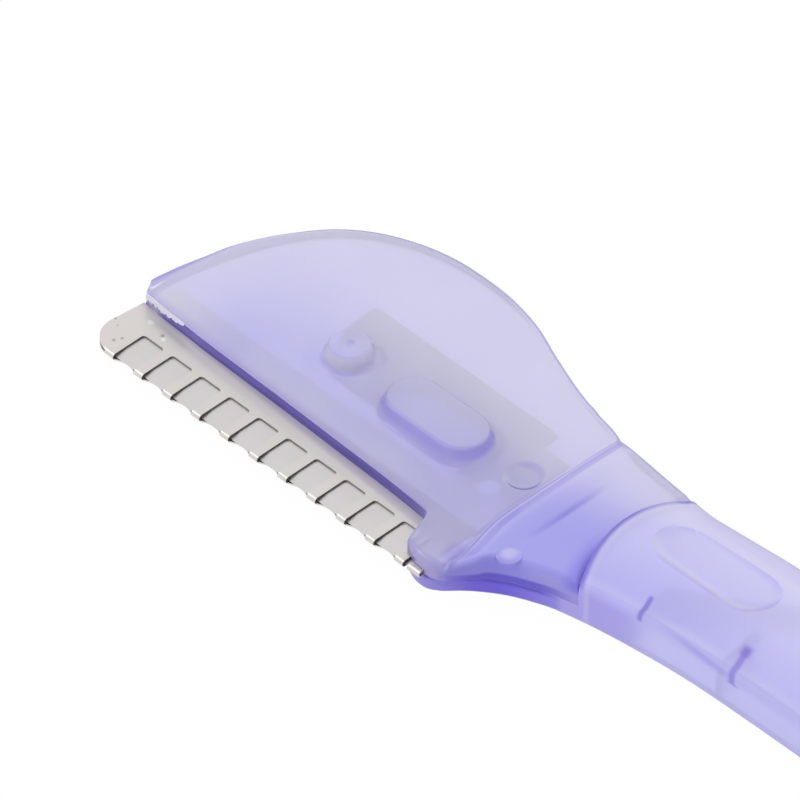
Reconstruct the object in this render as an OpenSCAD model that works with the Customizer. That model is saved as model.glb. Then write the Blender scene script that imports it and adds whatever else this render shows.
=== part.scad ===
// Eyebrow razor: a moulded handle with a flat D-shaped head. A front cover closes the head
// over a strip of blade steel, and a folded steel guard with a row of windows wraps the edge.
// All sizes in millimetres. The razor lies on its flat back, with the front face up (+Z), the
// handle towards +X and the cutting edge towards -Y.

/* [Overall] */
// Length from the tip of the head to the end of the handle
total_length = 150; // [130:1:180]
// Radial and face clearance between steel and plastic
seat_gap = 0.05; // [0.03:0.01:0.1]

/* [Head] */
// Length of the head and neck, from the tip to the handle's shoulder
head_length = 38.4; // [34:0.2:44]
// Height of the head, from the cutting edge to the top of its arc
head_height = 22.1; // [20:0.1:26]
// Thickness of the rear half, from the back to the joint line
rear_thickness = 1.35; // [1:0.05:2]
// Thickness of the front cover over the flat of the head
cover_thickness = 1.25; // [1.1:0.05:1.8]
// Thickness of the front cover where it rises into the neck
cover_thickness_neck = 1.95; // [1.6:0.05:2.6]
// Rounding of the cover's front rim
cover_rim_round = 1; // [0.4:0.05:1.1]
// Rounding of the cover's front at the tip of the head
tip_round = 0.2; // [0.1:0.05:0.6]

/* [Raised features of the cover] */
// Length of the oval pad
pad_length = 7.9; // [6:0.1:9]
// Width of the oval pad
pad_width = 3.6; // [3:0.1:5]
// Height of the oval pad and of the round boss
pad_height = 1.2; // [0.5:0.1:1.5]
// Slope of their flanks: how much the foot stands out past the top
flank_slope = 0.4; // [0.1:0.05:0.8]
// Radius of the round boss at its top
boss_radius = 1.3; // [1:0.05:2]
// Radius of the pit in the boss
boss_pit_radius = 0.28; // [0.15:0.01:0.5]
// Depth of the pit in the boss
boss_pit_depth = 0.6; // [0.2:0.05:0.9]
// Radius of the round recess near the neck
dimple_radius = 1.2; // [0.8:0.05:1.8]
// Depth of that recess
dimple_depth = 0.35; // [0.1:0.05:0.6]

/* [Blade] */
// Thickness of the blade steel
blade_thickness = 0.25; // [0.1:0.05:0.4]
// Length of the blade strip
blade_length = 31; // [26:0.1:34]
// Width of the blade strip, from the cutting edge to its back
blade_width = 7; // [6:0.1:8]
// Width of the ground bevel behind the cutting edge
bevel_width = 0.9; // [0.4:0.1:1.4]
// Thickness left at the cutting edge
edge_thickness = 0.03; // [0.01:0.01:0.08]
// Distance from the cutting edge to the top of the tang
tang_reach = 15.1; // [14:0.1:17]
// Length of the tang plate
tang_length = 19.6; // [16:0.1:22]
// Width of the tang plate
tang_width = 6.6; // [5:0.1:8]
// Width of the leg that joins the strip to the tang
leg_width = 4.8; // [3.5:0.1:6]
// Length of the notch in the tang's corner
notch_length = 2.6; // [2:0.1:4]
// Depth of the notch in the tang's corner
notch_depth = 1.5; // [1.2:0.1:2.4]

/* [Guard] */
// Thickness of the guard's sheet steel
guard_thickness = 0.12; // [0.1:0.01:0.3]
// Gap between the guard and the blade
guard_gap = 0.02; // [0.01:0.01:0.05]
// Width of the guard's leaves, from the fold to the hidden edge
guard_width = 6.4; // [5.5:0.1:7]
// Distance from one window to the next
window_pitch = 2.7; // [2.4:0.05:2.8]
// Length of a window along the edge
window_length = 1.94; // [1.2:0.02:2]
// Height of a window, from the fold to its top
window_height = 2.7; // [2:0.05:3]
// Rounding of a window's corners
window_round = 0.25; // [0.1:0.05:0.5]
// Distance from the guard's free end to the first window
window_start = 2.55; // [2:0.05:3.5]
// Rounding of the lower corner at the steel's free end
guard_corner_round = 2; // [0.8:0.1:2.4]
// How far the steel's free end leans in towards the cover
steel_lean = 0.3; // [0.1:0.05:0.5]
// Step by which the steel's free end is drawn in under the cover
steel_step = 1; // [0.8:0.1:1.5]

/* [Handle] */
// Width of the handle at the shoulder
handle_width = 11.7; // [9:0.1:13.5]
// Width of the handle near its end
handle_end_width = 7.6; // [6:0.1:10]
// Thickness of the handle along its middle
handle_thickness = 4.15; // [3.8:0.05:6]
// Thickness of the handle at its sides
handle_side_thickness = 3.1; // [2.6:0.05:3.6]
// Thickness of the handle along its middle, near its end
handle_end_thickness = 3.4; // [3:0.05:5]
// Rounding along the handle's front edges
handle_front_round = 0.9; // [0.4:0.05:1.2]
// Rounding along the handle's back edges
handle_back_round = 0.35; // [0.1:0.05:0.5]
// Radius of the curve that the shoulder makes across the handle
shoulder_radius = 12; // [10:1:40]
// Length of the oval thumb recess
thumb_length = 9.8; // [7:0.1:13]
// Width of the oval thumb recess
thumb_width = 4.4; // [3:0.1:5.5]
// Depth of the oval thumb recess
thumb_depth = 0.45; // [0.2:0.05:0.8]

/* [Channel in the back] */
// Thickness of the walls left round the channel
channel_wall = 1.25; // [0.9:0.05:1.8]
// Depth of the channel
channel_depth = 2; // [1:0.1:2.1]
// Distance from the shoulder to the channel
channel_start = 5.4; // [4:0.1:9]
// Plastic left between the channel and the end of the handle
channel_end = 4; // [3:0.5:8]
// Number of cross ribs in the channel
rib_count = 6; // [2:1:9]
// Thickness of a cross rib
rib_thickness = 0.8; // [0.6:0.05:1.2]
// Length of the short locating rib near the shoulder
short_rib_length = 2.6; // [1.5:0.1:3]
// Radius of the round end of the short rib
short_rib_end_radius = 0.5; // [0.35:0.05:0.8]
// Distance from the shoulder to the short rib
short_rib_place = 12.6; // [9:0.1:14]

/* [Posts] */
// Radius of the post under the round boss
main_post_radius = 1.1; // [0.7:0.05:1.2]
// Radius of the posts in the tang's notch and in its leg
small_post_radius = 0.7; // [0.5:0.05:0.8]
// Height of the posts above the joint line
post_height = 0.8; // [0.5:0.05:1]
// Radial clearance round each post
post_gap = 0.08; // [0.04:0.01:0.15]

/* [Hidden] */
$fn = 48;
// Overrun that lets one cut pass clear through a face
overrun = 0.5;
// Largest rounding of a section, as a share of half its width
round_limit = 0.9;
// Steps along each stretch of a curve, between two of its points
curve_steps = 2;
// Steps in a quarter round
round_steps = 3;

// The head from the tip to the shoulder, one row for each section across it: how far along
// the head it stands, its lower and its upper side as shares of the head's height, how far
// each has blended into the handle's side, the rounding of the cover's lower and upper rim,
// and how much of the cover's rise into the neck it has
head_shares = [
    [0.000, 0.254, 0.344, 0.00, 0.45, 0.20, 0.00],
    [0.004, 0.233, 0.394, 0.00, 0.40, 0.25, 0.00],
    [0.013, 0.218, 0.462, 0.00, 0.30, 0.40, 0.00],
    [0.034, 0.214, 0.589, 0.00, 0.20, 0.75, 0.00],
    [0.068, 0.208, 0.720, 0.00, 0.15, 1.00, 0.00],
    [0.115, 0.205, 0.832, 0.00, 0.15, 1.00, 0.00],
    [0.172, 0.200, 0.911, 0.00, 0.15, 1.00, 0.00],
    [0.240, 0.197, 0.965, 0.00, 0.15, 1.00, 0.00],
    [0.307, 0.194, 0.993, 0.00, 0.15, 1.00, 0.00],
    [0.375, 0.191, 1.000, 0.00, 0.15, 1.00, 0.00],
    [0.443, 0.187, 0.994, 0.00, 0.15, 1.00, 0.00],
    [0.521, 0.182, 0.965, 0.00, 0.15, 1.00, 0.00],
    [0.599, 0.178, 0.912, 0.00, 0.15, 1.00, 0.00],
    [0.677, 0.171, 0.863, 0.00, 0.15, 1.00, 0.00],
    [0.719, 0.165, 0.842, 0.00, 0.20, 1.00, 0.00],
    [0.731, 0.155, 0.838, 0.00, 0.15, 1.00, 0.00],
    [0.739, 0.124, 0.834, 0.00, 0.20, 1.00, 0.00],
    [0.746, 0.079, 0.831, 0.00, 0.30, 1.00, 0.00],
    [0.753, 0.044, 0.827, 0.00, 0.40, 1.00, 0.00],
    [0.763, 0.034, 0.824, 0.00, 0.50, 1.00, 0.00],
    [0.786, 0.019, 0.816, 0.00, 0.60, 1.00, 0.00],
    [0.812, 0.018, 0.806, 0.00, 0.70, 1.00, 0.00],
    [0.829, 0.025, 0.798, 0.05, 0.75, 1.00, 0.00],
    [0.838, 0.030, 0.794, 0.09, 0.80, 1.00, 0.22],
    [0.868, 0.060, 0.779, 0.25, 0.80, 1.00, 0.90],
    [0.917, 0.102, 0.775, 0.50, 0.80, 1.00, 0.85],
    [0.971, 0.138, 0.776, 0.80, 0.80, 1.00, 0.68],
    [1.000, 0.140, 0.787, 1.00, 0.80, 1.00, 0.70]
];
// The handle from the shoulder to its rounded end: how far along it each section stands, the
// middle of its width as a share of the head's height, and how much of the widening and
// thickening towards the shoulder is left there
handle_shares = [
    [0.000, 0.490, 1.00, 1.00],
    [0.022, 0.498, 0.84, 1.00],
    [0.052, 0.514, 0.77, 1.00],
    [0.100, 0.533, 0.73, 0.98],
    [0.170, 0.539, 0.72, 0.94],
    [0.270, 0.533, 0.66, 0.85],
    [0.400, 0.526, 0.51, 0.68],
    [0.550, 0.519, 0.28, 0.45],
    [0.700, 0.511, 0.13, 0.24],
    [0.850, 0.501, 0.03, 0.08],
    [1.000, 0.489, 0.00, 0.00]
];
// Rounded end: how far along it each section stands, and its width
end_shares = concat([for (a = [18 : 18 : 72]) [sin(a), cos(a)]], [[1, 0.28]]);
// How far along the head the cover's form goes, on past the curved shoulder, and the middle of
// the shoulder's curve as a share of the head's height
cover_end_share = 1.07;
shoulder_middle_share = 0.519;

// Places on the head, as shares of its length and height
pad_share = [0.591, 0.439];
boss_share = [0.366, 0.458];
dimple_share = [0.779, 0.471];
thumb_share = [1.190, 0.566];

// Key places along X from the tip, along Y from the cutting edge and along Z from the back
handle_start = head_length;
end_radius = handle_end_width / 2;
handle_run = total_length - head_length - end_radius;
middle_x = total_length / 2;
middle_y = head_height / 2;
joint_z = rear_thickness;
guard_half = blade_thickness / 2 + guard_gap + guard_thickness;
blade_edge_y = guard_thickness + guard_gap;
strip_back = blade_edge_y + blade_width;
lip_tip_y = head_shares[2][1] * head_height;
pad_place = [pad_share.x * head_length, pad_share.y * head_height];
boss_place = [boss_share.x * head_length, boss_share.y * head_height];
dimple_place = [dimple_share.x * head_length, dimple_share.y * head_height];
thumb_place = [thumb_share.x * head_length, thumb_share.y * head_height];
notch_post_place = [
    blade_length - notch_length / 2,
    tang_reach - notch_depth + small_post_radius + post_gap
];
leg_post_place = [blade_length - leg_width / 2, tang_reach - tang_width];
window_count = floor((blade_length - window_start) / window_pitch);
shoulder_centre = [handle_start + shoulder_radius, shoulder_middle_share * head_height];

// A smooth curve through points of any number of values
function curve_at(a, b, c, d, t) = 0.5 * (
    2 * b
    + (c - a) * t
    + (2 * a - 5 * b + 4 * c - d) * t * t
    + (3 * b - a - 3 * c + d) * t * t * t
);
function curve(p) = [
    for (i = [0 : len(p) - 2])
        for (k = [0 : curve_steps - (i == len(p) - 2 ? 0 : 1)])
            curve_at(
                p[max(i - 1, 0)], p[i], p[i + 1], p[min(i + 2, len(p) - 1)], k / curve_steps
            )
];

// Section of the handle: where it stands, its lower and upper side, and the height of its
// sides and of its middle
function handle_section(v) =
    let (half = (handle_end_width + (handle_width - handle_end_width) * v[2]) / 2)
    let (thinner = (handle_thickness - handle_end_thickness) * (1 - v[3]))
    [
        handle_start + v[0] * handle_run,
        v[1] * head_height - half,
        v[1] * head_height + half,
        handle_side_thickness - thinner / 2,
        handle_thickness - thinner
    ];
handle_sections = curve([for (v = handle_shares) handle_section(v)]);
neck_low = handle_sections[0][1];
neck_high = handle_sections[0][2];

// Section of the head: where it stands, its lower and upper side, the rounding of the rims and
// the height of the cover's front
function head_section(v) =
    let (x = v[0] * head_length, from_tip = max(0, 1 - x / tip_round))
    [
        x,
        v[1] * head_height * (1 - v[3]) + neck_low * v[3],
        v[2] * head_height * (1 - v[3]) + neck_high * v[3],
        v[4] * cover_rim_round,
        v[5] * cover_rim_round,
        rear_thickness
            + cover_thickness * (1 - v[6])
            + cover_thickness_neck * v[6]
            - tip_round * (1 - sqrt(1 - from_tip * from_tip))
    ];
head_sections = curve([for (v = head_shares) head_section(v)]);
neck_section = head_sections[len(head_sections) - 1];

// Height of the cover's front above the back, at a distance x from the tip
function front_z(x) = lookup(x, [for (v = head_sections) [v[0], v[5]]]);

// Points of a quarter round of radius r, each as its distance from the side and its height
// under the top
function quarter_round(r) = [
    for (k = [0 : round_steps])
        let (a = 90 * k / round_steps)
        [r * (1 - cos(a)), r * (1 - sin(a))]
];
function reversed(p) = [for (i = [len(p) - 1 : -1 : 0]) p[i]];

// Ring of points round a section of the body, from its back to its crowned front
function body_ring(x, low, high, side, crown) =
    let (half = (high - low) / 2, middle = (high + low) / 2)
    let (back = min(handle_back_round, round_limit * half))
    let (front = min(handle_front_round, round_limit * half))
    let (half_ring = concat(
        [for (q = reversed(quarter_round(back))) [half - q.x, q.y]],
        [for (q = quarter_round(front)) [half - q.x, side - q.y]],
        [for (s = [0.7, 0.35]) [s * (half - front), side + (crown - side) * (1 - s * s)]]
    ))
    concat(
        [for (q = half_ring) [x, middle - q.x, q.y]],
        [[x, middle, crown]],
        [for (q = reversed(half_ring)) [x, middle + q.x, q.y]]
    );

// Ring of points round a section of the cover, from the joint line to its rounded front rims
function cover_ring(x, v) = concat(
    [[x, v[1], joint_z]],
    [for (q = quarter_round(v[3])) [x, v[1] + q.x, v[5] - q.y]],
    [for (q = reversed(quarter_round(v[4]))) [x, v[2] - q.x, v[5] - q.y]],
    [[x, v[2], joint_z]]
);

// Joins rings of equal length into one closed skin, with each end closed by strips that run
// across from one half of its ring to the other
module skin(rings) {
    n = len(rings[0]);
    end = (len(rings) - 1) * n;
    sides = [
        for (r = [0 : len(rings) - 2])
            for (i = [0 : n - 1])
                let (a = r * n + i, b = r * n + (i + 1) % n)
                    each [[a, b, b + n], [a, b + n, a + n]]
    ];
    strips = [
        for (i = [0 : ceil(n / 2) - 2])
            concat([i, i + 1], i + 1 < n - 2 - i ? [n - 2 - i] : [], [n - 1 - i])
    ];
    polyhedron(
        [for (r = rings) each r],
        concat(sides, [for (s = strips) reversed(s)], [for (s = strips) [for (i = s) end + i]])
    );
}

// Places a shape so that the part's middle is over the origin
module in_place() {
    translate([-middle_x, -middle_y, 0])
    children();
}

// Whole outer form of the rear half, the neck and the handle, at the handle's full thickness
module body_form() {
    end = handle_sections[len(handle_sections) - 1];
    middle = (end[1] + end[2]) / 2;
    half = (end[2] - end[1]) / 2;
    skin(concat(
        [for (v = head_sections) if (v[0] < handle_start)
            body_ring(v[0], v[1], v[2], handle_side_thickness, handle_thickness)],
        [for (v = handle_sections) body_ring(v[0], v[1], v[2], v[3], v[4])],
        [for (s = end_shares)
            body_ring(
                end[0] + s.x * end_radius, middle - s.y * half, middle + s.y * half,
                end[3], end[4]
            )]
    ));
}

// Room in front of the joint line, up to the handle's curved shoulder
module cover_room() {
    difference() {
        translate([-overrun, -overrun, joint_z])
        cube([handle_start + shoulder_radius, head_height + 2 * overrun, handle_thickness]);
        translate([shoulder_centre.x, shoulder_centre.y, 0])
        cylinder(r = shoulder_radius, h = 2 * handle_thickness, $fn = 128);
    }
}

// Cuts the corner at the origin of a shape that lies in the first quadrant
module corner_cut(radius) {
    difference() {
        translate([-overrun, -overrun])
        square([radius + overrun, radius + overrun]);
        translate([radius, radius])
        circle(radius);
    }
}

// Plan of a steel strip of a given width, with its front edge at a given Y: its free end has a
// rounded corner, leans in, and is drawn in where it goes under the cover
module strip_plan(edge, width) {
    difference() {
        translate([0, edge])
        square([blade_length, width]);
        translate([0, edge])
        corner_cut(guard_corner_round);
        polygon([
            [0, edge + guard_corner_round],
            [steel_lean, lip_tip_y],
            [-overrun, lip_tip_y],
            [-overrun, edge + guard_corner_round]
        ]);
        translate([-overrun, lip_tip_y])
        square([steel_step + overrun, width]);
    }
}
module tang_plan() {
    left = blade_length - tang_length;
    right = blade_length;
    low = tang_reach - tang_width;
    polygon([
        [left + notch_length, low],
        [right, low],
        [right, tang_reach - notch_depth],
        [right - notch_length, tang_reach - notch_depth],
        [right - notch_length, tang_reach],
        [left, tang_reach],
        [left, tang_reach - notch_length]
    ]);
}

// Room for the steel in the two halves, half of its depth on each side of the joint line
module steel_room() {
    guard_depth = guard_half + seat_gap;
    blade_depth = blade_thickness / 2 + seat_gap;
    hidden_start = steel_step - seat_gap;
    end = blade_length + seat_gap;
    translate([-overrun, -overrun, joint_z - guard_depth])
    cube([hidden_start + overrun, lip_tip_y + overrun + seat_gap, 2 * guard_depth]);
    translate([hidden_start, -overrun, joint_z - guard_depth])
    cube([end - hidden_start, guard_width + overrun + seat_gap, 2 * guard_depth]);
    translate([hidden_start, 0, joint_z - blade_depth])
    cube([end - hidden_start, strip_back + seat_gap, 2 * blade_depth]);
    translate([blade_length - leg_width - seat_gap, 0, joint_z - blade_depth])
    cube([leg_width + 2 * seat_gap, tang_reach - tang_width, 2 * blade_depth]);
    translate([
        blade_length - tang_length - seat_gap,
        tang_reach - tang_width - seat_gap,
        joint_z - blade_depth
    ])
    cube([tang_length + 2 * seat_gap, tang_width + 2 * seat_gap, 2 * blade_depth]);
}

// The three posts of the rear half, or their sockets in the cover when grown by a clearance
module posts(grow) {
    low = joint_z - rear_thickness / 2;
    high = joint_z + post_height + grow;
    translate([boss_place.x, boss_place.y, low])
    cylinder(r = main_post_radius + grow, h = high - low);
    for (p = [notch_post_place, leg_post_place])
        translate([p.x, p.y, low])
        cylinder(r = small_post_radius + grow, h = high - low);
}

// Channel in the handle's back: its plan follows the handle's own sides, and its near end
// slants across under the thumb recess
module channel() {
    start = handle_start + channel_start;
    end = total_length - channel_end - end_radius;
    slant = 2 * channel_start;
    side_low = lookup(start, [for (v = handle_sections) [v[0], v[1]]]) + channel_wall;
    inner = [for (v = handle_sections) if (v[0] > start + slant && v[0] < end) v];
    difference() {
        translate([0, 0, -overrun])
        linear_extrude(channel_depth + overrun)
        polygon(concat(
            [[start, side_low + short_rib_length], [start, side_low]],
            [for (v = inner) [v[0], v[1] + channel_wall]],
            [for (v = reversed(inner)) [v[0], v[2] - channel_wall]]
        ));
        cross_ribs(start + slant, end);
        short_rib(handle_start + short_rib_place);
    }
}
module cross_ribs(start, end) {
    for (i = [1 : rib_count])
        translate([start + (end - start) * i / (rib_count + 1), 0, -2 * overrun])
        cube([rib_thickness, head_height, channel_depth + 4 * overrun]);
}
module short_rib(x) {
    low = lookup(x, [for (v = handle_sections) [v[0], v[1]]]) + channel_wall;
    translate([x - short_rib_end_radius / 2, low - channel_wall / 2, -2 * overrun])
    cube([
        short_rib_end_radius,
        channel_wall / 2 + short_rib_length,
        channel_depth + 4 * overrun
    ]);
    translate([x, low + short_rib_length, -2 * overrun])
    cylinder(r = short_rib_end_radius, h = channel_depth + 4 * overrun);
}

// An oval with round ends
module oval(length, width, height) {
    linear_extrude(height) {
        square([length - width, width], center = true);
        for (side = [-1, 1])
            translate([side * (length - width) / 2, 0])
            circle(width / 2);
    }
}
module thumb_recess() {
    translate([thumb_place.x, thumb_place.y, handle_thickness - thumb_depth])
    oval(thumb_length, thumb_width, thumb_depth + overrun);
}

module handle_body() {
    color("MediumPurple")
    in_place() {
        difference() {
            body_form();
            cover_room();
            steel_room();
            channel();
            thumb_recess();
        }
        posts(0);
    }
}

// Solid form of the cover, on past the line of the shoulder
module cover_form() {
    skin(concat(
        [for (v = head_sections) cover_ring(v[0], v)],
        [cover_ring(cover_end_share * head_length, neck_section)]
    ));
}
// A raised round shape of radius r, with a sloped flank that runs on down into the cover
module raised_round(place, r) {
    foot = pad_height + overrun;
    spread = flank_slope * foot / pad_height;
    translate([place.x, place.y, front_z(place.x) + pad_height - foot])
    cylinder(r1 = r + spread, r2 = r, h = foot);
}
module oval_pad() {
    reach = (pad_length - pad_width) / 2;
    hull()
    for (side = [-1, 1])
        raised_round([pad_place.x + side * reach, pad_place.y], pad_width / 2);
}
module front_pit(place, radius, depth, height) {
    translate([place.x, place.y, front_z(place.x) + height - depth])
    cylinder(r = radius, h = depth + overrun);
}

module head_cover() {
    color("Thistle")
    in_place()
    difference() {
        union() {
            cover_form();
            oval_pad();
            raised_round(boss_place, boss_radius);
        }
        translate([shoulder_centre.x, shoulder_centre.y, 0])
        cylinder(r = shoulder_radius + seat_gap, h = 2 * handle_thickness, $fn = 128);
        steel_room();
        posts(post_gap);
        front_pit(boss_place, boss_pit_radius, boss_pit_depth, pad_height);
        front_pit(dimple_place, dimple_radius, dimple_depth, 0);
    }
}

module blade() {
    color("Silver")
    in_place()
    difference() {
        translate([0, 0, joint_z - blade_thickness / 2])
        linear_extrude(blade_thickness) {
            strip_plan(blade_edge_y, blade_width);
            translate([blade_length - leg_width, blade_edge_y])
            square([leg_width, tang_reach - tang_width]);
            tang_plan();
        }
        posts(post_gap);
        bevels();
    }
}
// Ground bevels that thin the strip to its cutting edge, front and back
module bevels() {
    face = blade_thickness / 2;
    for (side = [0, 1])
        translate([-overrun, blade_edge_y, joint_z])
        mirror([0, 0, side])
        rotate([90, 0, 90])
        linear_extrude(blade_length + 2 * overrun)
        polygon([
            [-overrun, edge_thickness / 2],
            [0, edge_thickness / 2],
            [bevel_width, face],
            [bevel_width, face + overrun],
            [-overrun, face + overrun]
        ]);
}

module blade_guard() {
    color("Gainsboro")
    in_place()
    difference() {
        intersection() {
            translate([0, 0, joint_z])
            rotate([90, 0, 90])
            linear_extrude(blade_length)
            guard_fold();
            through_guard()
            strip_plan(0, guard_width);
        }
        for (i = [0 : window_count - 1])
            translate([window_start + i * window_pitch, 0, 0])
            through_guard()
            window_plan();
    }
}
// Extrudes a plan through both leaves of the guard
module through_guard() {
    translate([0, 0, joint_z - guard_half - overrun])
    linear_extrude(2 * (guard_half + overrun))
    children();
}
// Section of the folded sheet: two leaves joined by a half round
module guard_fold() {
    inner = guard_half - guard_thickness;
    difference() {
        union() {
            translate([guard_half, 0])
            circle(guard_half);
            translate([guard_half, -guard_half])
            square([guard_width - guard_half, 2 * guard_half]);
        }
        translate([guard_half, 0])
        circle(inner);
        translate([guard_half, -inner])
        square([guard_width, 2 * inner]);
    }
}
module window_plan() {
    difference() {
        translate([0, -overrun])
        square([window_length, window_height + overrun]);
        for (side = [0, 1])
            translate([side * window_length, window_height])
            mirror([side, 0])
            mirror([0, 1])
            corner_cut(window_round);
    }
}

handle_body();
head_cover();
blade();
blade_guard();
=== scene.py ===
"""Eyebrow razor in frosted, see-through lavender plastic, lying on its flat back: a D-shaped head
with a thin blade behind a windowed steel guard, a short neck and a long flat handle."""
import math
import bmesh
import bpy
import numpy as np
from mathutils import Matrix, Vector


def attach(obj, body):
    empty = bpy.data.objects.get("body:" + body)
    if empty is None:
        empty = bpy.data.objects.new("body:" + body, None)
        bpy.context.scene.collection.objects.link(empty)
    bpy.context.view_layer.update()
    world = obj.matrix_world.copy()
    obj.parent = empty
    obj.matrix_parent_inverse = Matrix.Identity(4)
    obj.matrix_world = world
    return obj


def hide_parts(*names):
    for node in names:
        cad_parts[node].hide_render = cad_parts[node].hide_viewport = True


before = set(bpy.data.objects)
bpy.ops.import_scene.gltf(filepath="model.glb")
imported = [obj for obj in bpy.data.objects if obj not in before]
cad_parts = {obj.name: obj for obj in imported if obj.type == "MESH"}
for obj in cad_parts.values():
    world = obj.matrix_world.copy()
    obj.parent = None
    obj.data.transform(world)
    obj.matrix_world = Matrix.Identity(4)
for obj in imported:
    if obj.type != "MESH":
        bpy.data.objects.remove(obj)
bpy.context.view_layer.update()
scene = bpy.context.scene

# ---------------------------------------------------------------- camera
# The photograph was taken with a long lens from the front left, looking down at the head, so
# that the handle runs out of the frame at the lower right.
azimuth = math.radians(46.03)
elevation = math.radians(43.08)
aim = Vector((-0.05648, -0.00071, 0.001615))
CAMERA_FAR = 1.2
away = Vector((
    math.sin(azimuth) * math.cos(elevation),
    -math.cos(azimuth) * math.cos(elevation),
    math.sin(elevation),
))
camera = bpy.data.objects.new("camera", bpy.data.cameras.new("camera"))
scene.collection.objects.link(camera)
camera.location = aim + away * CAMERA_FAR
camera.rotation_euler = away.to_track_quat("Z", "Y").to_euler()
camera.data.sensor_width = 36
camera.data.lens = 836.3
camera.data.clip_start = 0.1
camera.data.clip_end = 20
scene.camera = camera
scene.view_settings.view_transform = "Standard"


# ---------------------------------------------------------------- light and floor
# A white table in an evenly lit white room. Rays from the camera, and those that come through
# the plastic or off the steel, see plain white; the floor keeps a faint shadow.
def node(tree, kind, **settings):
    """Adds a node; settings named like a socket set that socket's value."""
    made = tree.nodes.new(kind)
    for name, value in settings.items():
        if hasattr(made, name):
            setattr(made, name, value)
        else:
            made.inputs[name.replace("_", " ")].default_value = value
    return made


def seen_plainly(tree):
    """Output that is 1 for rays from the camera, from glossy surfaces and through plastic."""
    path = tree.nodes.new("ShaderNodeLightPath")
    first = node(tree, "ShaderNodeMath", operation="MAXIMUM")
    second = node(tree, "ShaderNodeMath", operation="MAXIMUM")
    tree.links.new(path.outputs["Is Camera Ray"], first.inputs[0])
    tree.links.new(path.outputs["Is Glossy Ray"], first.inputs[1])
    tree.links.new(first.outputs[0], second.inputs[0])
    tree.links.new(path.outputs["Is Transmission Ray"], second.inputs[1])
    return second.outputs[0]


room = bpy.data.worlds.new("white_room")
room.use_nodes = True
scene.world = room
tree = room.node_tree
strength = node(tree, "ShaderNodeMapRange", To_Min=0.95, To_Max=1.0)
tree.links.new(seen_plainly(tree), strength.inputs["Value"])
tree.nodes["Background"].inputs["Color"].default_value = (1, 1, 1, 1)
tree.links.new(strength.outputs[0], tree.nodes["Background"].inputs["Strength"])


def lamp(name, place, size, power):
    data = bpy.data.lights.new(name, "AREA")
    data.shape = "DISK"
    data.size = size
    data.energy = power
    made = bpy.data.objects.new(name, data)
    scene.collection.objects.link(made)
    made.location = place
    made.rotation_euler = (Vector(place) - aim).to_track_quat("Z", "Y").to_euler()


lamp("key_lamp", place=(-0.45, -0.25, 0.45), size=0.1, power=0.45)
lamp("fill_lamp", place=(0.25, -0.45, 0.5), size=0.12, power=0.25)

FLOOR_HALF, FLOOR_GAP = 3, 0.00004
corners = [(-1, -1), (1, -1), (1, 1), (-1, 1)]
floor_mesh = bpy.data.meshes.new("floor")
floor_mesh.from_pydata(
    [(FLOOR_HALF * i, FLOOR_HALF * j, 0) for i, j in corners], [], [(0, 1, 2, 3)])
floor = bpy.data.objects.new("floor", floor_mesh)
floor.location.z = -FLOOR_GAP
scene.collection.objects.link(floor)
paper = bpy.data.materials.new("white_table")
paper.use_nodes = True
tree = paper.node_tree
tree.nodes.clear()
output = tree.nodes.new("ShaderNodeOutputMaterial")
mixed = tree.nodes.new("ShaderNodeMixShader")
matt = node(tree, "ShaderNodeBsdfDiffuse", Color=(0.85, 0.85, 0.85, 1))
bright = node(tree, "ShaderNodeEmission", Color=(1, 1, 1, 1), Strength=1.01)
share = node(tree, "ShaderNodeMapRange", To_Min=0.6, To_Max=0.95)
tree.links.new(seen_plainly(tree), share.inputs["Value"])
tree.links.new(share.outputs[0], mixed.inputs[0])
tree.links.new(matt.outputs[0], mixed.inputs[1])
tree.links.new(bright.outputs[0], mixed.inputs[2])
tree.links.new(mixed.outputs[0], output.inputs["Surface"])
floor.data.materials.append(paper)


# ---------------------------------------------------------------- handle_body
# The rear moulding: the handle, and the rear half of the neck and head. It is injected in one
# shot in see-through lavender plastic, with a spark-eroded satin face and a cored-out back.

# The razor's outline in plan, by sections across it, in millimetres from the head's tip along
# it and from the cutting edge across it. Both mouldings are lofted from these sections.
TOTAL, HEAD, ACROSS = 150.0, 38.4, 22.1
# thickness of the rear half, and of the cover over the head and at the neck
REAR, COVER, COVER_NECK = 1.35, 1.25, 1.95
RIM, TIP_ROUND = 1.0, 0.2
# the handle's width, and its height at the sides, in the middle and at the end
WIDE, NARROW = 11.7, 7.6
SIDE_HIGH, MIDDLE_HIGH, END_HIGH = 3.1, 4.15, 3.4

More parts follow.
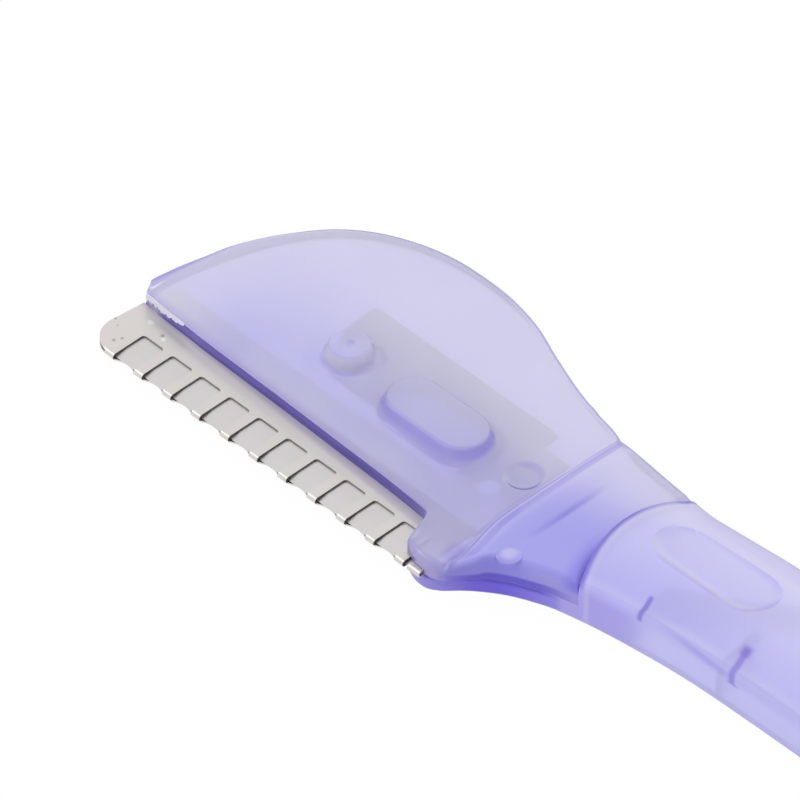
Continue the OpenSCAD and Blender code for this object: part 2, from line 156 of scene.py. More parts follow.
# how far along, lower side, upper side, merging into the handle, lower rim, upper rim, and how
# much of the rise into the neck
head_rows = [
    [0.000, 0.254, 0.344, 0.00, 0.45, 0.20, 0.00],
    [0.004, 0.233, 0.394, 0.00, 0.40, 0.25, 0.00],
    [0.013, 0.218, 0.462, 0.00, 0.30, 0.40, 0.00],
    [0.034, 0.214, 0.589, 0.00, 0.20, 0.75, 0.00],
    [0.068, 0.208, 0.720, 0.00, 0.15, 1.00, 0.00],
    [0.115, 0.205, 0.832, 0.00, 0.15, 1.00, 0.00],
    [0.172, 0.200, 0.911, 0.00, 0.15, 1.00, 0.00],
    [0.240, 0.197, 0.965, 0.00, 0.15, 1.00, 0.00],
    [0.307, 0.194, 0.993, 0.00, 0.15, 1.00, 0.00],
    [0.375, 0.191, 1.000, 0.00, 0.15, 1.00, 0.00],
    [0.443, 0.187, 0.994, 0.00, 0.15, 1.00, 0.00],
    [0.521, 0.182, 0.965, 0.00, 0.15, 1.00, 0.00],
    [0.599, 0.178, 0.912, 0.00, 0.15, 1.00, 0.00],
    [0.677, 0.171, 0.863, 0.00, 0.15, 1.00, 0.00],
    [0.719, 0.165, 0.842, 0.00, 0.20, 1.00, 0.00],
    [0.731, 0.155, 0.838, 0.00, 0.15, 1.00, 0.00],
    [0.739, 0.124, 0.834, 0.00, 0.20, 1.00, 0.00],
    [0.746, 0.079, 0.831, 0.00, 0.30, 1.00, 0.00],
    [0.753, 0.044, 0.827, 0.00, 0.40, 1.00, 0.00],
    [0.763, 0.034, 0.824, 0.00, 0.50, 1.00, 0.00],
    [0.786, 0.019, 0.816, 0.00, 0.60, 1.00, 0.00],
    [0.812, 0.018, 0.806, 0.00, 0.70, 1.00, 0.00],
    [0.829, 0.025, 0.798, 0.05, 0.75, 1.00, 0.00],
    [0.838, 0.030, 0.794, 0.09, 0.80, 1.00, 0.22],
    [0.868, 0.060, 0.779, 0.25, 0.80, 1.00, 0.90],
    [0.917, 0.102, 0.775, 0.50, 0.80, 1.00, 0.85],
    [0.971, 0.138, 0.776, 0.80, 0.80, 1.00, 0.68],
    [1.000, 0.140, 0.787, 1.00, 0.80, 1.00, 0.70],
]
# how far along the handle, middle of its width, share of the widening and of the thickening
handle_rows = [
    [0.000, 0.490, 1.00, 1.00],
    [0.022, 0.498, 0.84, 1.00],
    [0.052, 0.514, 0.77, 1.00],
    [0.100, 0.533, 0.73, 0.98],
    [0.170, 0.539, 0.72, 0.94],
    [0.270, 0.533, 0.66, 0.85],
    [0.400, 0.526, 0.51, 0.68],
    [0.550, 0.519, 0.28, 0.45],
    [0.700, 0.511, 0.13, 0.24],
    [0.850, 0.501, 0.03, 0.08],
    [1.000, 0.489, 0.00, 0.00],
]


def smooth_rows(rows, spacing):
    """A smooth curve through rows of values, with steps no longer than spacing in plan."""
    rows = np.array(rows, float)
    made = []
    for i in range(len(rows) - 1):
        a, b = rows[max(i - 1, 0)], rows[i]
        c, d = rows[i + 1], rows[min(i + 2, len(rows) - 1)]
        steps = max(2, math.ceil(np.abs(c[:3] - b[:3]).max() / spacing))
        for t in np.arange(steps) / steps:
            made.append(0.5 * (2 * b + (c - a) * t + (2 * a - 5 * b + 4 * c - d) * t * t
                               + (3 * b - a - 3 * c + d) * t ** 3))
    made.append(rows[-1])
    return np.array(made)


# columns of the two lines: both start with X, the lower and the upper side; then the head's
# has its two rims and the height of its face, and the handle's its side and its crown
LOW, HIGH, LOW_RIM, TOP = 1, 2, 3, 5

handle_line = []
for passed, middle, wider, thicker in handle_rows:
    half = (NARROW + (WIDE - NARROW) * wider) / 2
    thinner = (MIDDLE_HIGH - END_HIGH) * (1 - thicker)
    handle_line.append([
        HEAD + passed * (TOTAL - HEAD - NARROW / 2), middle * ACROSS - half,
        middle * ACROSS + half, SIDE_HIGH - thinner / 2, MIDDLE_HIGH - thinner,
    ])
handle_line = smooth_rows(handle_line, spacing=0.9)

head_line = []
for passed, low, high, merged, low_rim, high_rim, risen in head_rows:
    x = passed * HEAD
    from_tip = max(0.0, 1 - x / TIP_ROUND)
    head_line.append([
        x, low * ACROSS * (1 - merged) + handle_line[0][LOW] * merged,
        high * ACROSS * (1 - merged) + handle_line[0][HIGH] * merged,
        low_rim * RIM, high_rim * RIM,
        REAR + COVER * (1 - risen) + COVER_NECK * risen
        - TIP_ROUND * (1 - math.sqrt(1 - from_tip ** 2)),
    ])
head_line = smooth_rows(head_line, spacing=0.45)


def side_at(x, which):
    return float(np.interp(x, handle_line[:, 0], handle_line[:, which]))


def loft(name, rings):
    """Mesh object of a closed skin over rings of equal length, given in razor millimetres."""
    rings = np.array(rings, float)
    count, n = rings.shape[:2]
    points = rings.reshape(-1, 3) - [TOTAL / 2, ACROSS / 2, 0]
    faces = [
        (r * n + i, r * n + (i + 1) % n, (r + 1) * n + (i + 1) % n, (r + 1) * n + i)
        for r in range(count - 1) for i in range(n)
    ]
    faces.append(tuple(range(n - 1, -1, -1)))
    faces.append(tuple((count - 1) * n + i for i in range(n)))
    mesh = bpy.data.meshes.new(name)
    mesh.from_pydata((points / 1000).tolist(), [], faces)
    made = bpy.data.objects.new(name, mesh)
    scene.collection.objects.link(made)
    kit = bmesh.new()
    kit.from_mesh(mesh)
    bmesh.ops.recalc_face_normals(kit, faces=kit.faces)
    kit.to_mesh(mesh)
    kit.free()
    return made


BACK_ROUND, END_FLAT = 0.22, 0.14
FRONT_ROUND_AT, FRONT_ROUND = [HEAD, HEAD + 3, HEAD + 10, HEAD + 18], [0.7, 1.0, 0.84, 0.84]


def body_ring(x, low, high, side, crown):
    """Section of the rear moulding: a flat back with small rounds, upright sides, larger
    rounds in front and a crowned face."""
    half, middle = (high - low) / 2, (high + low) / 2
    back = min(BACK_ROUND, half * 0.4)
    front = min(float(np.interp(x, FRONT_ROUND_AT, FRONT_ROUND)), half * 0.8)
    turn_back = np.radians(np.linspace(0, 90, 5))
    turn_front = np.radians(np.linspace(0, 90, 8))
    share = np.linspace(1, 0, 12)[1:-1]
    wide = np.concatenate([
        np.linspace(0, half - back, 6)[1:-1],
        half - back * (1 - np.sin(turn_back)),
        np.full(3, half),
        half - front * (1 - np.cos(turn_front)),
        (half - front) * share,
    ])
    tall = np.concatenate([
        np.zeros(4),
        back * (1 - np.cos(turn_back)),
        np.linspace(back, side - front, 5)[1:-1],
        side - front * (1 - np.sin(turn_front)),
        side + (crown - side) * (1 - share ** 2),
    ])
    right = [(x, middle + w, z) for w, z in zip(wide, tall)]
    left = [(x, middle - w, z) for w, z in zip(wide, tall)]
    return [(x, middle, 0)] + right + [(x, middle, crown)] + left[::-1]


rings = [body_ring(*v[:3], SIDE_HIGH, MIDDLE_HIGH) for v in head_line if v[0] < HEAD - 0.01]
rings += [body_ring(*v[:5]) for v in handle_line]
end, end_low, end_high, side, crown = handle_line[-1]
middle, half = (end_low + end_high) / 2, (end_high - end_low) / 2
for angle in (9, 18, 27, 36, 45, 54, 63, 72, 79):
    s, c = math.sin(math.radians(angle)), math.cos(math.radians(angle))
    rings.append(body_ring(
        end + s * NARROW / 2, middle - c * half, middle + c * half, side, crown))
rings.append(body_ring(
    TOTAL, middle - END_FLAT * half, middle + END_FLAT * half, side, crown))
body = loft("handle_moulding", rings)


# The plastic looks milky lavender where a face looks up, and the upright walls get a painted
# deep violet shade.
def linked(tree, value, socket):
    """Feeds a socket from another socket, or sets it to a plain number or colour."""
    if isinstance(value, bpy.types.NodeSocket):
        tree.links.new(value, socket)
    else:
        socket.default_value = value


def sums(tree, operation, *values):
    made = node(tree, "ShaderNodeMath", operation=operation)
    for value, socket in zip(values, made.inputs):
        linked(tree, value, socket)
    return made.outputs[0]


def times(tree, *masks):
    """Mask of where all the masks hold."""
    made = masks[0]
    for mask in masks[1:]:
        made = sums(tree, "MULTIPLY", made, mask)
    return made


def outside(tree, mask):
    """Mask of where the given one doesn't hold."""
    return sums(tree, "SUBTRACT", 1.0, mask)


def ramp(tree, value, low, high):
    """Soft ramp: 0 where the value is low, 1 where it is high."""
    made = node(tree, "ShaderNodeMapRange", interpolation_type="SMOOTHSTEP")
    for given, name in ((value, "Value"), (low, "From Min"), (high, "From Max")):
        linked(tree, given, made.inputs[name])
    return made.outputs[0]


def blend(tree, share, first, second):
    made = node(tree, "ShaderNodeMix", data_type="RGBA")
    linked(tree, share, made.inputs["Factor"])
    linked(tree, first, made.inputs["A"])
    linked(tree, second, made.inputs["B"])
    return made.outputs["Result"]


def wash(tree, tint, mask, share, colour):
    """Lays a share of a colour over a tint where the mask holds."""
    return blend(tree, times(tree, mask, share), tint, colour)


def noise(tree, where, scale, detail=3.0):
    made = node(tree, "ShaderNodeTexNoise", Scale=scale, Detail=detail, Roughness=0.5)
    tree.links.new(where, made.inputs["Vector"])
    return made.outputs["Fac"]


def satin_group():
    """Satin moulded skin: its clouding, its upright walls, its roughness and its normal."""
    made = bpy.data.node_groups.new("satin_skin", "ShaderNodeTree")
    for name in ("Smooth", "Rough"):
        made.interface.new_socket(name, in_out="INPUT", socket_type="NodeSocketFloat")
    for name in ("Cloud", "Upright", "Tilt", "Roughness"):
        made.interface.new_socket(name, in_out="OUTPUT", socket_type="NodeSocketFloat")
    made.interface.new_socket("Normal", in_out="OUTPUT", socket_type="NodeSocketVector")
    given = made.nodes.new("NodeGroupInput")
    result = made.nodes.new("NodeGroupOutput")
    where = made.nodes.new("ShaderNodeTexCoord")
    place = where.outputs["Object"]
    facing = made.nodes.new("ShaderNodeSeparateXYZ")
    made.links.new(where.outputs["Normal"], facing.inputs[0])
    flat = sums(made, "ABSOLUTE", facing.outputs["Z"])
    rough = node(made, "ShaderNodeMapRange")
    made.links.new(noise(made, place, scale=700, detail=2), rough.inputs["Value"])
    made.links.new(given.outputs["Smooth"], rough.inputs["To Min"])
    made.links.new(given.outputs["Rough"], rough.inputs["To Max"])
    flow = node(made, "ShaderNodeBump", Strength=0.05, Distance=0.0002)
    made.links.new(noise(made, place, scale=350, detail=1), flow.inputs["Height"])
    cloud = noise(made, place, scale=110, detail=2)
    made.links.new(ramp(made, cloud, low=0.3, high=0.7), result.inputs["Cloud"])
    made.links.new(ramp(made, flat, low=0.97, high=0.25), result.inputs["Upright"])
    made.links.new(facing.outputs["Y"], result.inputs["Tilt"])
    made.links.new(rough.outputs[0], result.inputs["Roughness"])
    made.links.new(flow.outputs["Normal"], result.inputs["Normal"])
    return made


satin = satin_group()


def new_material(name):
    """Starts a material: gives it, its node tree and its shader."""
    made = bpy.data.materials.new(name)
    made.use_nodes = True
    return made, made.node_tree, made.node_tree.nodes["Principled BSDF"]


def plastic(name, through, smooth, rough):
    """Starts a moulded plastic: gives its material, its node tree and its satin skin."""
    made, tree, shader = new_material(name)
    shader.inputs["Transmission Weight"].default_value = through
    shader.inputs["IOR"].default_value = 1.46
    shader.inputs["Specular IOR Level"].default_value = 0.35
    skin = node(tree, "ShaderNodeGroup", node_tree=satin, Smooth=smooth, Rough=rough)
    tree.links.new(skin.outputs["Roughness"], shader.inputs["Roughness"])
    tree.links.new(skin.outputs["Normal"], shader.inputs["Normal"])
    inside = node(tree, "ShaderNodeVolumeAbsorption", Color=(0.3, 0.27, 0.97, 1), Density=110)
    tree.links.new(inside.outputs[0], tree.nodes["Material Output"].inputs["Volume"])
    return made, tree, skin


# colours of the painted light and painted shade on the plastic
PAINTED_PALE_LIGHT, SHADED = (0.96, 0.95, 1.0, 1), (0.4, 0.34, 0.97, 1)
RIM_PAINTED_SHADE, EDGE_PAINTED_SHADE = (0.38, 0.33, 0.86, 1), (0.16, 0.12, 0.5, 1)


def lit(tree, skin, tint, pale, outline):
    """Painted light and shade on clear plastic, by how it stands: a violet painted shade where it
    faces the cutting edge's side, a paler painted light where it tips the other way, and the
    darkest painted shade at its outline, where the light runs along the wall. The pale and
    outline masks say where the last two show."""
    tilt = skin.outputs["Tilt"]
    tint = wash(tree, tint, times(tree, ramp(tree, tilt, 0.04, 0.35), pale), 0.45, PAINTED_PALE_LIGHT)
    towards = times(tree, ramp(tree, tilt, -0.05, -0.45), outside(tree, skin.outputs["Upright"]))
    tint = wash(tree, tint, towards, 0.3, SHADED)
    grazing = node(tree, "ShaderNodeLayerWeight", Blend=0.5).outputs["Facing"]
    tint = wash(tree, tint, times(tree, ramp(tree, grazing, 0.45, 0.72), outline), 0.8, RIM_PAINTED_SHADE)
    return wash(tree, tint, times(tree, ramp(tree, grazing, 0.6, 0.9), outline), 0.9, EDGE_PAINTED_SHADE)


def places(tree):
    """Distances in metres along, across and up, from the part's own origin."""
    split = tree.nodes.new("ShaderNodeSeparateXYZ")
    tree.links.new(tree.nodes.new("ShaderNodeTexCoord").outputs["Object"], split.inputs[0])
    return split.outputs


def along(x):
    """Metres from the part's own origin, of millimetres from the tip; across is its like."""
    return (x - TOTAL / 2) / 1000


def across(y):
    return (y - ACROSS / 2) / 1000


def off(tree, value, centre):
    """How far a value is from its centre, either way."""
    return sums(tree, "ABSOLUTE", sums(tree, "SUBTRACT", value, centre))


def near(tree, value, centre, reach):
    """1 where the value is at the centre, down to 0 at the reach on either side."""
    return ramp(tree, off(tree, value, centre), reach, 0.0)


def slant(tree, value, slope, other):
    """A value that changes with another one, for lines that run at a slant."""
    return sums(tree, "ADD", value, sums(tree, "MULTIPLY", other, slope))


def length(tree, first, second):
    """Length of a slope that goes a first distance one way and a second at right angles."""
    squares = [sums(tree, "POWER", side, 2.0) for side in (first, second)]
    return sums(tree, "SQRT", sums(tree, "ADD", *squares))


def distance(tree, x, y, place):
    """Distance in plan from a place given in razor millimetres."""
    return length(tree, sums(tree, "SUBTRACT", x, along(place[0])),
                  sums(tree, "SUBTRACT", y, across(place[1])))


def zones(tree, x, y, tint, steps):
    """Changes a tint by steps along or across the razor: where each starts, where it is
    complete, and its colour."""
    for way, start, stop, colour in steps:
        mask = (ramp(tree, x, along(start), along(stop)) if way == "along"
                else ramp(tree, y, across(start), across(stop)))
        tint = blend(tree, mask, tint, colour)
    return tint


SHOULDER_MIDDLE, SHOULDER_ROUND = (HEAD + 12.0, 0.519 * ACROSS), 12.0
# marks of the channel's first end wall and of the short rib, which show through the face: place
# along in millimetres; lowest and highest point and half thickness in metres; strength
TICKS = [
    (46.2, 0.00268, 0.00346, 0.0003, 0.75), (54.05, 0.0023, 0.00245, 0.0007, 0.6),
    (54.05, 0.0024, 0.0036, 0.0004, 0.65), (54.05, 0.0034, 0.00366, 0.0007, 0.5),
]
TICK_LEAN, TICK_SOFT, TICK_TINT = -0.55, 0.00006, (0.24, 0.18, 0.72, 1)

handle_plastic, tree, skin = plastic("handle_plastic", through=0.42, smooth=0.26, rough=0.36)
x, y, z = places(tree)
upright = skin.outputs["Upright"]
face = zones(tree, x, y, (0.71, 0.7, 1.0, 1), [("across", 9, 17, (0.88, 0.86, 1.0, 1))])
face = wash(tree, face, skin.outputs["Cloud"], 0.4, (0.78, 0.77, 1.0, 1))
# the upright walls get a painted deep violet shade, darker than the face
wall = zones(tree, x, y, (0.42, 0.36, 0.95, 1), [
    ("along", 31, 34, (0.2, 0.14, 0.86, 1)), ("along", 34.5, 40, (0.44, 0.39, 0.98, 1)),
    ("along", 38.3, 39, (0.56, 0.515, 1.0, 1)), ("along", 43, 46, (0.66, 0.645, 1.0, 1)),
    ("across", 10, 13, (0.7, 0.66, 0.99, 1)),
])
tint = blend(tree, upright, face, wall)
# the shoulder's crest gets a painted shade as a dark line, with a painted highlight as a pale
# line beside it
reach = distance(tree, x, y, SHOULDER_MIDDLE)
front_arc = ramp(tree, x, along(50), along(47))
crest_shade = near(tree, reach, (SHOULDER_ROUND - 0.1) / 1000, 0.00034)
crest_shade = times(tree, crest_shade, ramp(tree, z, 0.0026, 0.003), front_arc)
tint = wash(tree, tint, crest_shade, 0.85, (0.2, 0.15, 0.75, 1))
crest_highlight = times(tree, near(tree, reach, (SHOULDER_ROUND - 0.55) / 1000, 0.0003), front_arc)
tint = wash(tree, tint, crest_highlight, 0.35, (0.9, 0.89, 0.99, 1))
ceiling = times(tree, ramp(tree, z, 0.0021, 0.0019), outside(tree, upright))
tint = blend(tree, ceiling, tint, (0.62, 0.59, 1.0, 1))
tint = lit(tree, skin, tint, pale=ramp(tree, y, across(15.6), across(14.8)), outline=0.35)
# the channel's long wall shows through as a fine line beside the thumb recess
inner_wall = times(tree, near(tree, y, across(6.72), 0.00022), ramp(tree, z, 0.0024, 0.0026),
                   near(tree, x, along(49.9), 0.0042))
tint = wash(tree, tint, inner_wall, 0.5, (0.36, 0.31, 0.9, 1))
for mark_x, low_z, high_z, half, share in TICKS:
    tall = (high_z - low_z) / 2
    off_mark = off(tree, x, slant(tree, along(mark_x), TICK_LEAN, z))
    mark = times(
        tree, ramp(tree, off_mark, half, half * 0.2),
        ramp(tree, off(tree, z, (low_z + high_z) / 2), tall + TICK_SOFT, tall - TICK_SOFT),
        ramp(tree, y, across(10.5), across(10)))
    tint = wash(tree, tint, mark, share, TICK_TINT)
# along the heel and the neck, the parting line under the joint is dark
parting = times(tree, near(tree, z, (REAR - 0.15) / 1000, 0.0003),
                ramp(tree, x, along(39), along(37)))
tint = wash(tree, tint, parting, 0.9, (0.1, 0.06, 0.55, 1))
linked(tree, tint, tree.nodes["Principled BSDF"].inputs["Base Color"])
body.data.materials.append(handle_plastic)


def prism(name, plan, low, high, finish):
    """Straight prism over a plan outline, from one height to another."""
    made = loft(name, [[(x, y, z) for x, y in plan] for z in (low, high)])
    made.data.materials.append(finish)
    return made


def cut(target, tools, operation="DIFFERENCE"):
    """Cuts each tool out of the target, or joins it on, and removes the tool."""
    for tool in tools:
        step = target.modifiers.new("cut", "BOOLEAN")
        step.operation = operation
        step.solver = "EXACT"
        step.object = tool
        step.material_mode = "TRANSFER"
        depsgraph = bpy.context.evaluated_depsgraph_get()
        result = bpy.data.meshes.new_from_object(target.evaluated_get(depsgraph))
        target.modifiers.clear()
        old = target.data
        target.data = result
        bpy.data.meshes.remove(old)
        bpy.data.objects.remove(tool)


def shade(target, angle):
    """Smooth shading that keeps edges sharper than the angle, in degrees."""
    target.data.shade_smooth()
    target.data.set_sharp_from_angle(angle=math.radians(angle))


SHOULDER_TURN = np.radians(np.linspace(-78, 78, 65))


def shoulder_arc(gap):
    """The shoulder's curve across the razor, set off from the handle by a gap."""
    radius = SHOULDER_ROUND + gap
    x, y = SHOULDER_MIDDLE
    return [(x - radius * math.cos(a), y - radius * math.sin(a)) for a in SHOULDER_TURN]


# the front half of the head and neck is left free for the cover, up to the shoulder
JOINT_GAP = 0.003
shoulder = shoulder_arc(0.0)
room_plan = [(-2, 30), (-2, -8), (shoulder[-1][0], -8)] + shoulder[::-1] + [(shoulder[0][0], 30)]
cut(body, [prism("room", room_plan, REAR - JOINT_GAP, 8, handle_plastic)])

# Where the two mouldings are welded, and where they lie on the steel, no air is left between
# them, so these hidden faces don't show.
welded, tree, shader = new_material("welded_face")
place = tree.nodes.new("ShaderNodeTexCoord").outputs["Object"]
mottled = blend(tree, noise(tree, place, scale=300), (0.7, 0.7, 0.95, 1), (0.6, 0.6, 0.9, 1))
linked(tree, mottled, shader.inputs["Base Color"])
shader.inputs["Alpha"].default_value = 0.0

WELD_TOP = 2.6  # where the shoulder stands free of the cover


def off_shoulder(place):
    """How far a place on a mesh is in plan from the shoulder's arc, in millimetres."""
    x, y = place.x * 1000 + TOTAL / 2, place.y * 1000 + ACROSS / 2
    return abs(math.hypot(x - SHOULDER_MIDDLE[0], y - SHOULDER_MIDDLE[1]) - SHOULDER_ROUND)


def weld(target, height):
    """Gives the welded finish to the faces that lie in the joint: flat at the given height, and
    upright on the shoulder's arc."""
    target.data.materials.append(welded)
    index = len(target.data.materials) - 1
    for face in target.data.polygons:
        level, lean = face.center.z * 1000, abs(face.normal.z)
        flat = abs(level - height) < 0.0005 and lean > 0.99
        upright = off_shoulder(face.center) < 0.02 and lean < 0.05
        if flat or (upright and level < WELD_TOP and face.center.x < 0):
            face.material_index = index


# Room that both mouldings leave for the steel: a shallow pocket round the tang and the blade,
# and a deeper one for the guard's folded leaves.
BLADE_LONG, BLADE_BACK, GUARD_WIDE = 31.0, 7.14, 6.4
TANG_TOP, TANG_LOW, TANG_LONG, LEG = 15.1, 8.5, 19.6, 4.8
BLADE_THICK, GUARD_HALF, SEAT = 0.25, 0.265, 0.05
FREE_END, FREE_END_TOP = 0.95, 4.82
PAST = 1.0  # how far the cuts start outside the razor


def rectangle(x0, x1, y0, y1):
    return [(x0, y0), (x1, y0), (x1, y1), (x0, y1)]


def steel_pockets():
    thin, thick = BLADE_THICK / 2 + SEAT, GUARD_HALF + SEAT
    end, leg_from = BLADE_LONG + SEAT, BLADE_LONG - LEG - SEAT
    tang_from = BLADE_LONG - TANG_LONG - SEAT
    plan = [
        (-PAST, -PAST), (end, -PAST), (end, TANG_TOP + SEAT), (tang_from, TANG_TOP + SEAT),
        (tang_from, TANG_LOW - SEAT), (leg_from, TANG_LOW - SEAT), (leg_from, BLADE_BACK + SEAT),
        (FREE_END, BLADE_BACK + SEAT), (FREE_END, 0), (-PAST, 0),
    ]
    # the outlines stand a hair apart, so that the cuts have no faces in common
    guard_plan = rectangle(FREE_END, end, -PAST - 0.02, GUARD_WIDE + SEAT)
    end_plan = rectangle(-PAST - 0.01, FREE_END + SEAT, -PAST - 0.01, FREE_END_TOP + SEAT)
    return [
        prism("pocket", plan, REAR - thin, REAR + thin, welded),
        prism("pocket", guard_plan, REAR - thick, REAR + thick, welded),
        prism("pocket", end_plan, REAR - thick, REAR + thick, welded),
    ]


cut(body, steel_pockets())

# a small round along the shoulder's crest
CREST_ROUND, CREST_FROM = 0.00022, 2.2

kit = bmesh.new()
kit.from_mesh(body.data)
crest_edges = []
for edge in kit.edges:
    on_crest = all(
        off_shoulder(v.co) < 0.03 and v.co.z * 1000 > CREST_FROM for v in edge.verts)
    if on_crest and len(edge.link_faces) == 2:
        tilts = sorted(abs(f.normal.z) for f in edge.link_faces)
        if tilts[0] < 0.2 and tilts[1] > 0.5:
            crest_edges.append(edge)
bmesh.ops.bevel(kit, geom=crest_edges, offset=CREST_ROUND, segments=4, profile=0.5,
                affect="EDGES", clamp_overlap=True)
kit.to_mesh(body.data)
kit.free()


# the thumb recess: a shallow oval dish with soft, sloped walls
def oval_plan(middle, length, width, count=24):
    """Outline of a straight-sided oval along the razor."""
    x, y = middle
    reach = (length - width) / 2
    turn = np.linspace(-math.pi / 2, math.pi / 2, count)
    right = np.stack([x + reach + width / 2 * np.cos(turn), y + width / 2 * np.sin(turn)], -1)
    left = np.stack([x - reach - width / 2 * np.cos(turn), y - width / 2 * np.sin(turn)], -1)
    return np.concatenate([right, left])


def stacked(name, outline, profile, finish):
    """Solid of stacked plans: outline(grow) gives a plan, profile its growth and height."""
    made = loft(name, [[(x, y, z) for x, y in outline(grow)] for grow, z in profile])
    made.data.materials.append(finish)
    return made


THUMB, THUMB_LONG, THUMB_WIDE = (1.190 * HEAD, 0.566 * ACROSS), 9.8, 4.4
cut(body, [stacked(
    "dish", lambda grow: oval_plan(THUMB, THUMB_LONG + 2 * grow, THUMB_WIDE + 2 * grow),
    [(-1.0, 3.64), (-0.75, 3.66), (-0.45, 3.75), (0.0, 3.98), (0.25, 4.16), (0.4, 5.0)],
    handle_plastic)])

# the channel in the back, in cells between cross ribs; the first cell has a cut-off corner at
# its upper end, and a short rib with a knob that stands out from its lower wall
CHANNEL_WALL, CHANNEL_DEEP, RIB_THICK, RIB_COUNT = 1.25, 2.0, 0.8, 6
CHANNEL_FROM, CHANNEL_TO = HEAD + 5.4, TOTAL - 4 - NARROW / 2
CORNER_LONG, CORNER_WIDE = 10.8, 2.6
SHORT_RIB_AT, SHORT_RIB_LONG, SHORT_RIB_HALF, KNOB_ROUND = HEAD + 12.6, 3.25, 0.25, 0.5


def circle_plan(middle, radius, count=48):
    turn = np.arange(count) * 2 * math.pi / count
    return np.stack([middle[0] + radius * np.cos(turn), middle[1] + radius * np.sin(turn)], -1)


def channel_sides(low_xs, high_xs):
    """Plan of a cell: its lower wall at some places along, and then its upper wall."""
    return ([(x, side_at(x, LOW) + CHANNEL_WALL) for x in low_xs]
            + [(x, side_at(x, HIGH) - CHANNEL_WALL) for x in high_xs])


def cell(plan):
    return prism("cell", plan, -0.5, CHANNEL_DEEP, handle_plastic)


spacing = (CHANNEL_TO - CHANNEL_FROM - CORNER_LONG) / (RIB_COUNT + 1)
rib_at = [CHANNEL_FROM + CORNER_LONG + spacing * (i + 1) for i in range(RIB_COUNT)]
corner = channel_sides([CHANNEL_FROM], [])[0]
first_cell = cell([(corner[0], corner[1] + CORNER_WIDE), corner] + channel_sides(
    np.linspace(CHANNEL_FROM + 1, rib_at[0], 12),
    np.linspace(rib_at[0], CHANNEL_FROM + CORNER_LONG, 6)))
rib_low = side_at(SHORT_RIB_AT, LOW) + 0.6
rib_plan = rectangle(SHORT_RIB_AT - SHORT_RIB_HALF, SHORT_RIB_AT + SHORT_RIB_HALF,
                     rib_low, rib_low + SHORT_RIB_LONG)
knob_plan = circle_plan((SHORT_RIB_AT, rib_low + SHORT_RIB_LONG), KNOB_ROUND, count=24)
cut(first_cell, [prism("rib", rib_plan, -1, 3, handle_plastic),
                 prism("knob", knob_plan, -1, 3, handle_plastic)])
cut(body, [first_cell])
for x0, x1 in zip(rib_at, rib_at[1:] + [CHANNEL_TO]):
    xs = np.linspace(x0 + RIB_THICK, x1, 9)
    cut(body, [cell(channel_sides(xs, xs[::-1]))])
shade(body, 32)
weld(body, REAR - JOINT_GAP)
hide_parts("handle_body")
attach(body, "root")


# ---------------------------------------------------------------- head_cover
# The front moulding, welded over the steel: a flat D-shaped face with rounded rims, a round
# boss, a raised oval pad, a round recess, and a neck that steps up to the shoulder.
JOINT_ROUND, FACE_FALL, FALL_WIDE = 0.01, 0.2, 4.5


def front_z(x):
    return float(np.interp(x, head_line[:, 0], head_line[:, TOP]))


def cover_ring(x, low, high, low_rim, high_rim, top):
    """Section of the cover: a small round at the joint, rounded rims, and a face that falls
    a little towards its upper rim."""
    base = REAR + JOINT_GAP
    turn = np.radians(np.linspace(0, 90, 9))
    between = np.linspace(0, 1, 33)[1:-1]
    face = high - high_rim - low - low_rim
    fall = FACE_FALL * high_rim / RIM
    ys = np.concatenate([
        [low + JOINT_ROUND], np.full(4, low), low + low_rim * (1 - np.cos(turn)),
        low + low_rim + face * between,
        (high - high_rim * (1 - np.cos(turn)))[::-1], np.full(4, high), [high - JOINT_ROUND],
        high - JOINT_ROUND + (low - high + 2 * JOINT_ROUND) * np.linspace(0, 1, 14)[1:-1],
    ])
    zs = np.concatenate([
        [base], np.linspace(base + JOINT_ROUND, top - low_rim, 5)[:-1],
        top - low_rim * (1 - np.sin(turn)),
        top - fall * np.clip(1 - (1 - between) * face / FALL_WIDE, 0, 1) ** 2.5,
        (top - (high_rim - fall) * (1 - np.sin(turn)) - fall)[::-1],
        np.linspace(top - high_rim, base + JOINT_ROUND, 5)[1:], [base],
        np.full(12, base),
    ])
    return np.stack([np.full(len(ys), x), ys, zs], -1)


FOLD_AT, FOLD_LIFT, DIP_AT, FOLD_DIP = 31.98, 0.08, 31.7, 0.07
VALLEY, VALLEY_DEEP = (34.75, 9.6), 0.1


def bell(value, centre, reach, power=2):
    return np.exp(-((value - centre) / reach) ** power)


def creased(ring):
    """The fold where the neck starts, which swings a little along the razor, and the soft
    valley behind it."""
    x, y, z = ring.T
    swing = (0.95 / (1 + np.exp((y - 4.4) / 0.9)) - 0.25) * bell(x, 32.3, 1.6, 4)
    up = np.clip((z - REAR - 0.6) / 0.6, 0, 1)
    fade = np.clip((14 - y) / 5, 0.25, 1) * (1 + bell(y, 1.4, 2))
    fold = FOLD_LIFT * bell(x, FOLD_AT, 0.1) - FOLD_DIP * bell(x, DIP_AT, 0.15)
    valley = VALLEY_DEEP * bell(x, VALLEY[0], 0.3) * bell(y, VALLEY[1], 3.4, 4)
    ring[:, 2] = z + up * (fold * fade - valley)
    ring[:, 0] = x + swing
    return ring


# the blunt tip: how far along, lower side, upper side
tip_rows = [
    (-0.15, 5.95, 6.12), (-0.1, 5.85, 6.6), (0.02, 5.66, 7.3), (0.14, 5.45, 8.1),
    (0.28, 5.2, 8.8), (0.42, 4.95, 9.45), (0.6, 4.83, 10.25),
]
TIP_TO = tip_rows[-1][0]
rings = [cover_ring(x, low, high, 0.04, 0.06 + 0.3 * max(x, 0), front_z(TIP_TO))
         for x, low, high in tip_rows]
